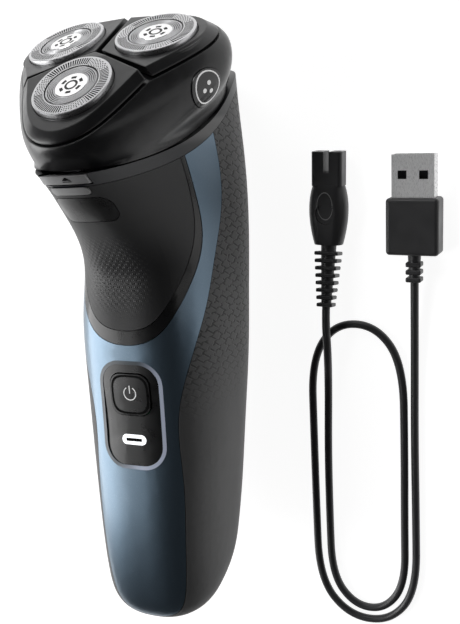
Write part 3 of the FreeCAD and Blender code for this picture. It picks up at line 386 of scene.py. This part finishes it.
# ---------------------------------------------------------------- helpers: meshes
def new_piece(name, mesh, body, shaders):
    piece = bpy.data.objects.new(name, mesh)
    scene.collection.objects.link(piece)
    for shader in shaders:
        mesh.materials.append(shader.material)
    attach(piece, body)
    return piece


def mesh_of(name, work, smooth=True):
    mesh = bpy.data.meshes.new(name)
    bmesh.ops.recalc_face_normals(work, faces=work.faces)
    work.to_mesh(mesh)
    work.free()
    if smooth:
        mesh.shade_smooth()
        mesh.set_sharp_from_angle(angle=SMOOTH_ANGLE)
    return mesh


def surface_of(*names):
    """One searchable surface of several CAD nodes."""
    places = []
    faces = []
    for name in names:
        mesh = nodes[name].data
        first = len(places)
        places += [vertex.co for vertex in mesh.vertices]
        faces += [[first + index for index in polygon.vertices] for polygon in mesh.polygons]
    return BVHTree.FromPolygons(places, faces)


PRINT_THICK = 0.06 * MM


def printed(name, on_nodes, body, shader, rows, outward, spot):
    """Thin print laid on CAD nodes: rows of (across, along) places, cast against outward.

    spot turns a place into a point well outside the node.
    """
    surface = surface_of(*on_nodes)
    work = bmesh.new()
    top = []
    for row in rows:
        top.append([surface.ray_cast(spot(*place), -outward)[0] for place in row])
    upper = [[work.verts.new(point + outward * PRINT_THICK) for point in line] for line in top]
    lower = [[work.verts.new(point - outward * PRINT_THICK) for point in line] for line in top]
    last_row = len(rows) - 1
    last = len(rows[0]) - 1
    for r in range(last_row):
        for c in range(last):
            work.faces.new((upper[r][c], upper[r][c + 1], upper[r + 1][c + 1], upper[r + 1][c]))
            work.faces.new((lower[r][c], lower[r + 1][c], lower[r + 1][c + 1], lower[r][c + 1]))
    for c in range(last):
        for r in (0, last_row):
            work.faces.new((upper[r][c], upper[r][c + 1], lower[r][c + 1], lower[r][c]))
    for r in range(last_row):
        for c in (0, last):
            work.faces.new((upper[r][c], upper[r + 1][c], lower[r + 1][c], lower[r][c]))
    bmesh.ops.remove_doubles(work, verts=work.verts, dist=0.000001)
    return new_piece(name, mesh_of(name, work), body, [shader])


def ring_rows(centre, inner, outer, start=0.0, end=360.0, stretch=1.0):
    """Rows of an arc-shaped strip around a centre, angles in degrees, 0 along +across."""
    count = max(6, int(abs(end - start) / 5))
    rows = []
    for index in range(count + 1):
        angle = math.radians(start + (end - start) * index / count)
        way = Vector((math.cos(angle), math.sin(angle) * stretch))
        rows.append([tuple(Vector(centre) + way * radius) for radius in (inner, (inner + outer) / 2, outer)])
    return rows


def bar_rows(start, end, half_wide, steps=8):
    """Rows of a straight bar between two places; half_wide may be (at start, at end)."""
    start = Vector(start)
    end = Vector(end)
    wide = half_wide if isinstance(half_wide, tuple) else (half_wide, half_wide)
    side = Vector((-(end - start).y, (end - start).x)).normalized()
    rows = []
    for index in range(steps + 1):
        share = index / steps
        middle = start.lerp(end, share)
        reach = wide[0] + (wide[1] - wide[0]) * share
        rows.append([tuple(middle + side * reach * way) for way in (-1, 0, 1)])
    return rows


# Casting starts this far out, well outside every node.
FAR_OUT = 0.2
FRONT = Vector((0, 0, 1))
RIGHT = Vector((1, 0, 0))


def front_spot(across, along):
    return Vector((across, along, FAR_OUT))


def centre_of(node):
    low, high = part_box(node)
    return (low + high) / 2


# ---------------------------------------------------------------- charging lead
CORD_DIAMETER = 0.0024
# The route that the cord's CAD solid follows, as control points.
CORD_ROUTE = [
    (0.0450, 0.0010, 0.0064), (0.0448, -0.0041, 0.0071), (0.0450, -0.0127, 0.0069),
    (0.0428, -0.0255, 0.0013), (0.0417, -0.0459, 0.0013), (0.0412, -0.0669, 0.0013),
    (0.0410, -0.0886, 0.0013), (0.0480, -0.0982, 0.0013), (0.0578, -0.0983, 0.0013),
    (0.0648, -0.0886, 0.0013), (0.0652, -0.0679, 0.0013), (0.0659, -0.0439, 0.0013),
    (0.0663, -0.0171, 0.0013), (0.0584, -0.0055, 0.0013), (0.0458, -0.0053, 0.0013),
    (0.0378, -0.0169, 0.0013), (0.0373, -0.0409, 0.0013), (0.0369, -0.0637, 0.0013),
    (0.0366, -0.0905, 0.0013), (0.0458, -0.1022, 0.0013), (0.0592, -0.1023, 0.0013),
    (0.0683, -0.0907, 0.0013), (0.0688, -0.0643, 0.0013), (0.0691, -0.0399, 0.0013),
    (0.0698, -0.0155, 0.0013), (0.0710, 0.0083, 0.0038),
]


def lay_cord():
    data = bpy.data.curves.new("cord", "CURVE")
    data.dimensions = "3D"
    line = data.splines.new("NURBS")
    line.points.add(len(CORD_ROUTE) - 1)
    for point, place in zip(line.points, CORD_ROUTE):
        point.co = (*place, 1)
    line.order_u = 3
    line.use_endpoint_u = True
    line.resolution_u = 12
    data.bevel_depth = CORD_DIAMETER / 2
    data.bevel_resolution = 5
    data.use_fill_caps = True
    cord = bpy.data.objects.new("cord", data)
    scene.collection.objects.link(cord)
    data.materials.append(FINISHES["cord_rubber"].material)
    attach(cord, "handle")
    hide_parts("charging_cord")


lay_cord()


# ---------------------------------------------------------------- shaving rings
GUARD_RADIUS = 11.0
SLOT_COUNT = 90
SLOT_SHARE = 0.56
SLOT_DEPTH = 0.42
GROOVE_INNER = 7.1
GROOVE_OUTER = 7.5
TRACK = [GROOVE_OUTER, 7.8, 8.15, 8.5, 8.85, 9.2, 9.55, 9.9, 10.25, 10.6]
DISC = 4.5
PLATE = 0.6
GUARD_DEPTH = 5.0
RIDGE_COUNT = 5
GROOVE_FLOOR = -0.35
RIDGE_FLOOR = -0.24
# Groove and ridge floors that take the near-black material: painted shade.
SHADE_PAINTED_FLOORS = ((GROOVE_FLOOR, GROOVE_FLOOR), (RIDGE_FLOOR, RIDGE_FLOOR))
RIDGE_TOP = -0.02
STEP_DOWN = -0.15
MARK_RING = (1.2, 1.85)
MARK_DASH = (2.35, 3.25)
# Slots come in groups: the first ones of each are long, the rest are rows of short holes.
SLOT_GROUP = 30
LONG_SHARE = 0.62
DASH_COLUMNS = 15
GUARD_TURN = 200


def ridge_profile():
    """Concentric ridges between the middle disc and the groove whose floor is painted dark as shade, (radius,
    height) in mm.
    """
    step = (GROOVE_INNER - DISC - 0.2) / RIDGE_COUNT
    profile = [(DISC, STEP_DOWN)]
    for number in range(RIDGE_COUNT):
        low = DISC + 0.2 + number * step
        profile += [(low, RIDGE_FLOOR), (low + 0.06, RIDGE_TOP),
                    (low + step - 0.24, RIDGE_TOP), (low + step - 0.18, RIDGE_FLOOR)]
    return profile + [(GROOVE_INNER, STEP_DOWN), (GROOVE_INNER, GROOVE_FLOOR), (GROOVE_OUTER, GROOVE_FLOOR)]


def disc_profile():
    return [(0.5, 0.0), (MARK_RING[0], 0.0), (MARK_RING[1], 0.0), (MARK_DASH[0], 0.0),
            (MARK_DASH[1], 0.0), (3.8, 0.0), (DISC - 0.1, 0.0), (DISC, -0.08)]


def outer_profile():
    inner = GUARD_RADIUS - 0.65
    return [(10.82, -0.03), (10.96, -0.16), (GUARD_RADIUS, -0.4), (GUARD_RADIUS, -4.4), (11.4, -4.4),
            (11.4, -GUARD_DEPTH), (inner, -GUARD_DEPTH), (inner, -PLATE), (0.5, -PLATE)]


def guard_mesh(name):
    """Cap with cut slots: profile of revolution whose track cells are sunk where there is a slot; sunk cells and
    groove floors are coloured near black as painted shade.
    """
    profile = disc_profile() + ridge_profile() + [(radius, 0.0) for radius in TRACK] + outer_profile()
    first = len(disc_profile()) + len(ridge_profile())
    columns = 2 * SLOT_COUNT
    pitch = 2 * math.pi / SLOT_COUNT
    angles = [pitch * (index // 2) + (pitch * SLOT_SHARE if index % 2 else 0.0) for index in range(columns)]
    work = bmesh.new()

    def point(column, radius, height):
        angle = angles[column % columns]
        return Vector((radius * math.cos(angle), radius * math.sin(angle), height)) * MM

    grid = [[work.verts.new(point(c, *spot)) for spot in profile] for c in range(columns)]
    for column in range(columns):
        here = grid[column]
        after = grid[(column + 1) % columns]
        is_slot = column % 2 == 0
        number = column // 2
        long_slot = (number % SLOT_GROUP) / SLOT_GROUP < LONG_SHARE
        sunk = set()
        if is_slot:
            for ring in range(len(TRACK) - 1):
                if long_slot and 1 <= ring <= len(TRACK) - 3:
                    sunk.add(ring)
                if not long_slot and (ring + number) % 2 == 0 and ring < len(TRACK) - 2:
                    sunk.add(ring)
        for index in range(len(profile) - 1):
            ring = index - first
            if ring in sunk:
                continue
            face = work.faces.new((here[index], after[index], after[index + 1], here[index + 1]))
            # Material 1 is near black: printed marks on the disc, and painted shade on the groove and ridge
            # floors; material 2 is the polished disc.
            if index == 1 or (index == 3 and (column // DASH_COLUMNS) % 2 == 0):
                face.material_index = 1
            elif index < len(disc_profile()) - 1:
                face.material_index = 2
            elif (profile[index][1], profile[index + 1][1]) in SHADE_PAINTED_FLOORS:
                face.material_index = 1
        for ring in sorted(sunk):
            index = first + ring
            low = {}
            for key, col, spot in (("a", column, index), ("b", column + 1, index),
                                   ("c", column + 1, index + 1), ("d", column, index + 1)):
                radius, height = profile[spot]
                low[key] = work.verts.new(point(col, radius, height - SLOT_DEPTH))
            quads = [(low["a"], low["b"], low["c"], low["d"]),
                     (here[index], here[index + 1], low["d"], low["a"]),
                     (after[index + 1], after[index], low["b"], low["c"])]
            if ring - 1 not in sunk:
                quads.append((after[index], here[index], low["a"], low["b"]))
            if ring + 1 not in sunk:
                quads.append((here[index + 1], after[index + 1], low["c"], low["d"]))
            # Painted shade: the walls and floor of each sunk slot take the near-black material.
            for quad in quads:
                work.faces.new(quad).material_index = 1
    work.faces.new([line[0] for line in grid]).material_index = 2
    work.faces.new([line[-1] for line in reversed(grid)])
    bmesh.ops.remove_doubles(work, verts=work.verts, dist=0.0000005)
    return mesh_of(name, work)


def guard_place(side):
    joint = joints[f"cutter_spin_{side}"]
    axis = Vector(joint["axis"]).normalized()
    across = (Vector((1, 0, 0)) - axis * axis.x).normalized()
    turned = Matrix((across, axis.cross(across), axis)).transposed().to_4x4()
    return Matrix.Translation(joint["pos_m"]) @ turned


for side in SIDES:
    mesh = guard_mesh(f"ring_{side}")
    mesh.transform(guard_place(side) @ Matrix.Rotation(math.radians(GUARD_TURN), 4, "Z"))
    ring = new_piece(f"ring_{side}", mesh, f"shaving_ring_{side}",
                     [FINISHES["guard_steel"], DARK_MARKS_AND_SLOT_SHADE, DISC_STEEL])
    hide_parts(f"guard_{side}")


# ---------------------------------------------------------------- prints
button = centre_of("power_button")
POWER_RADIUS = 1.9 * MM
power_at = (button.x, button.y + 0.35 * MM)
printed("power_ring", ("power_button",), "button", PRINT_WHITE_PAINTED_GLOW,
        ring_rows(power_at, POWER_RADIUS - 0.13 * MM, POWER_RADIUS + 0.13 * MM, 120, 420), FRONT, front_spot)
printed("power_bar", ("power_button",), "button", PRINT_WHITE_PAINTED_GLOW,
        bar_rows(power_at, (button.x, power_at[1] + POWER_RADIUS * 1.22), 0.14 * MM), FRONT, front_spot)
half = (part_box("power_button")[1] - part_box("power_button")[0]) / 2


SQUARENESS = 3.4


def squircle(share, count=72):
    """Places along the outline of the button, scaled by share about its centre."""
    places = []
    for index in range(count + 1):
        angle = 2 * math.pi * index / count
        reach = sum(abs(part) ** SQUARENESS for part in (math.cos(angle), math.sin(angle)))
        reach = reach ** (-1 / SQUARENESS) * share
        across = half.x * reach * math.cos(angle)
        along = half.y * reach * math.sin(angle)
        places.append((button.x + across, button.y + along))
    return places


# Painted shade: a near-black ring just inside the button's outline stands for the shadowed gap round the button.
printed("button_gap_shade", ("power_button",), "button", BLACK_PRINT_AND_GAP_SHADE,
        list(zip(squircle(0.86), squircle(0.91), squircle(0.96))), FRONT, front_spot)
pill = centre_of("light_guide")
printed("light_slot", ("light_guide",), "handle", BLACK_PRINT_AND_GAP_SHADE,
        bar_rows((pill.x - 2.5 * MM, pill.y), (pill.x + 2.5 * MM, pill.y), 0.45 * MM), FRONT, front_spot)

tab = centre_of("release_tab")
mark = Vector((tab.x + 2.0 * MM, tab.y))
printed("tab_arrow", ("release_tab",), "release", BLACK_PRINT_AND_GAP_SHADE,
        bar_rows(mark - Vector((0, 0.1 * MM)), mark + Vector((0, 0.75 * MM)), (1.2 * MM, 0.05 * MM)),
        FRONT, front_spot)
printed("tab_line", ("release_tab",), "release", BLACK_PRINT_AND_GAP_SHADE,
        bar_rows(mark - Vector((1.2 * MM, 0.42 * MM)), mark + Vector((1.2 * MM, -0.42 * MM)), 0.1 * MM),
        FRONT, front_spot)

badge = centre_of("badge")
badge_face = surface_of("badge").ray_cast(Vector((FAR_OUT, badge.y, badge.z)), -RIGHT)
badge_out = badge_face[1].normalized()
badge_up = (Vector((0, 1, 0)) - badge_out * badge_out.y).normalized()
badge_across = badge_up.cross(badge_out)


def badge_spot(across, up):
    return badge_face[0] + badge_across * across + badge_up * up + badge_out * 0.02


printed("badge_ring", ("badge", "head_housing"), "shaving_unit", PRINT_WHITE_PAINTED_GLOW,
        ring_rows((0, 0), 4.0 * MM, 4.35 * MM), badge_out, badge_spot)
for number, place in enumerate(((-1.2, -0.8), (1.2, -0.8), (0.0, 1.3))):
    printed(f"badge_dot_{number}", ("badge", "head_housing"), "shaving_unit", PRINT_WHITE_PAINTED_GLOW,
            ring_rows((place[0] * MM, place[1] * MM), 0.05 * MM, 0.6 * MM), badge_out, badge_spot)
thumb = centre_of("connector_body")
printed("thumb_outline", ("connector_body",), "handle", FINISHES["grey_plastic"],
        ring_rows((thumb.x, thumb.y - 2.0 * MM), 2.2 * MM, 2.38 * MM, stretch=1.7), FRONT, front_spot)


# ---------------------------------------------------------------- floor and light
def make_floor():
    work = bmesh.new()
    bmesh.ops.create_grid(work, x_segments=1, y_segments=1, size=3.0)
    mesh = mesh_of("floor", work, smooth=False)
    floor = bpy.data.objects.new("floor", mesh)
    scene.collection.objects.link(floor)
    floor.location.z = -0.0002
    shader = Shader("floor", (0.35, 0.35, 0.35), 0.9, specular=0.1)
    shader.main.inputs["Emission Color"].default_value = (1, 1, 1, 1)
    shader.main.inputs["Emission Strength"].default_value = 0.93
    mesh.materials.append(shader.material)


def softbox(name, place, target, size, power):
    data = bpy.data.lights.new(name, "AREA")
    data.shape = "RECTANGLE"
    data.size = size[0]
    data.size_y = size[1]
    data.energy = power
    lamp = bpy.data.objects.new(name, data)
    scene.collection.objects.link(lamp)
    lamp.location = place
    aim = Vector(target) - Vector(place)
    lamp.rotation_euler = aim.to_track_quat("-Z", "Y").to_euler()


make_floor()
softbox("key", (-0.78, -0.12, 0.3), (0, 0, 0.03), (0.5, 1.3), 10.5)
softbox("top", (-0.25, 0.75, 0.45), (0, 0.06, 0.04), (0.6, 0.3), 2.4)
softbox("right_fill", (0.7, 0.1, 0.12), (0, 0, 0.03), (0.25, 0.8), 0.45)
world = bpy.data.worlds.new("studio")
world.use_nodes = True
world.node_tree.nodes["Background"].inputs["Color"].default_value = (1, 1, 1, 1)
world.node_tree.nodes["Background"].inputs["Strength"].default_value = 0.03
scene.world = world
scene.view_settings.view_transform = "Standard"
